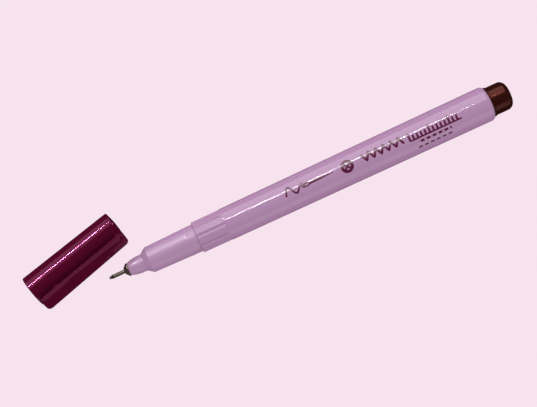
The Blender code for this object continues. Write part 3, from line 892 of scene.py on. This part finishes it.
def makePrint():
    marks = (needleAndThread() + fourHoleButton() + zigzagStitch() + seamGauge()
             + runningStitches())
    bpy.ops.object.select_all(action="DESELECT")
    for mark in marks:
        mark.select_set(True)
    bpy.context.view_layer.objects.active = marks[0]
    bpy.ops.object.join()
    sheet = bpy.context.active_object
    sheet.name = "barrelPrint"
    sheet.data.name = "barrelPrint"
    for vert in sheet.data.vertices:
        radius = barrelRadius(vert.co.x)
        turn = vert.co.y / radius
        out = radius + vert.co.z
        vert.co = (vert.co.x, out * math.sin(turn), out * math.cos(turn))
    startEdit(sheet)
    closeUp()
    endEdit()
    smooth(sheet, inkLook["smoothBelow"])
    dress(sheet, printInk)
    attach(sheet, "pen")


makePrint()
print("print made")


studio = {"floorSize": 4.0, "floorColour": "#F9E5F0", "floorBounce": "#241F22",
          "floorGlow": 0.97, "floorRoughness": 0.9, "domeColour": "#FFF7FB", "domeStrength": 0.76}
view = {"place": (-105, 0.3, 430), "turn": (1.413, -3.04, -24.909), "lens": 96.63, "near": 1.0}
# each light's ends, width and aim in mm, how bright it looks,
# and whether it only shows as a reflection or only fills
lights = {
    "fillSoftbox": {"from": (-600, 800, 600), "to": (440, 800, 600), "width": 800,
                    "aim": (-79, 0, 0), "glow": 1.3, "mirrored": False},
    "glossSoftbox": {"from": (-700, 560, 400), "to": (500, 560, 400), "width": 760,
                     "aim": (-79, 0, 0), "glow": 2.2, "mirrored": True},
    "bounceCard": {"from": (-900, -700, 260), "to": (700, -700, 260), "width": 500,
                   "aim": (-79, 0, 0), "glow": 0.8, "mirrored": True},
    "penStrip": {"from": (-86, 179, 300), "to": (55, 162, 300), "width": 4,
                 "aim": (-55, 0, 0), "glow": 220, "mirrored": True},
    "plugStrip": {"from": (74, 200, 300), "to": (92, 200, 300), "width": 14,
                  "aim": (-3, 0, 0), "glow": 30, "mirrored": True},
    "capStrip": {"from": (-280, 303, 300), "to": (-224, 357, 300), "width": 4,
                 "aim": (-139, 10, 0), "glow": 1100, "mirrored": True}}


# Pale paper: even and shadowless, lit from within, and not mirrored in the plastic
def makeFloor():
    bpy.ops.object.select_all(action="DESELECT")
    bpy.ops.mesh.primitive_plane_add(size=studio["floorSize"], location=(0, 0, floorHeight))
    floor = bpy.context.active_object
    floor.name = "studioFloor"
    settle(floor)
    material, _, shader, _ = newMaterial("palePaper")
    shader.inputs["Base Color"].default_value = tint(studio["floorBounce"])
    shader.inputs["Roughness"].default_value = studio["floorRoughness"]
    shader.inputs["Specular IOR Level"].default_value = 0.0
    shader.inputs["Emission Color"].default_value = tint(studio["floorColour"])
    shader.inputs["Emission Strength"].default_value = studio["floorGlow"]
    dress(floor, material)
    floor.visible_glossy = False


def makeLight(name, look):
    start, end, aim = (Vector(look[key]) * mm for key in ("from", "to", "aim"))
    place = (start + end) / 2
    bpy.ops.object.select_all(action="DESELECT")
    bpy.ops.object.light_add(type="AREA", location=place)
    light = bpy.context.active_object
    light.name = name
    light.data.shape = "RECTANGLE"
    light.data.size = (end - start).length
    light.data.size_y = look["width"] * mm
    light.data.energy = look["glow"] * math.pi * light.data.size * light.data.size_y
    light.visible_camera = False
    light.visible_glossy = look["mirrored"]
    light.visible_diffuse = not look["mirrored"]
    along = (end - start).normalized()
    away = place - aim
    away = (away - along * away.dot(along)).normalized()
    light.rotation_euler = Matrix((along, away.cross(along), away)).transposed().to_euler()


def makeWorld():
    world = bpy.data.worlds.new("studioDome")
    world.use_nodes = True
    background = world.node_tree.nodes["Background"]
    background.inputs["Color"].default_value = tint(studio["domeColour"])
    background.inputs["Strength"].default_value = studio["domeStrength"]
    world.cycles_visibility.glossy = False
    bpy.context.scene.world = world


def makeCamera():
    bpy.ops.object.select_all(action="DESELECT")
    bpy.ops.object.camera_add(location=Vector(view["place"]) * mm,
                              rotation=[math.radians(turn) for turn in view["turn"]])
    camera = bpy.context.active_object
    camera.data.lens = view["lens"]
    camera.data.clip_start = view["near"] * mm
    bpy.context.scene.camera = camera


makeFloor()
makeWorld()
for lightName, lightLook in lights.items():
    makeLight(lightName, lightLook)
makeCamera()
bpy.context.scene.view_settings.view_transform = "Standard"
print("studio made")
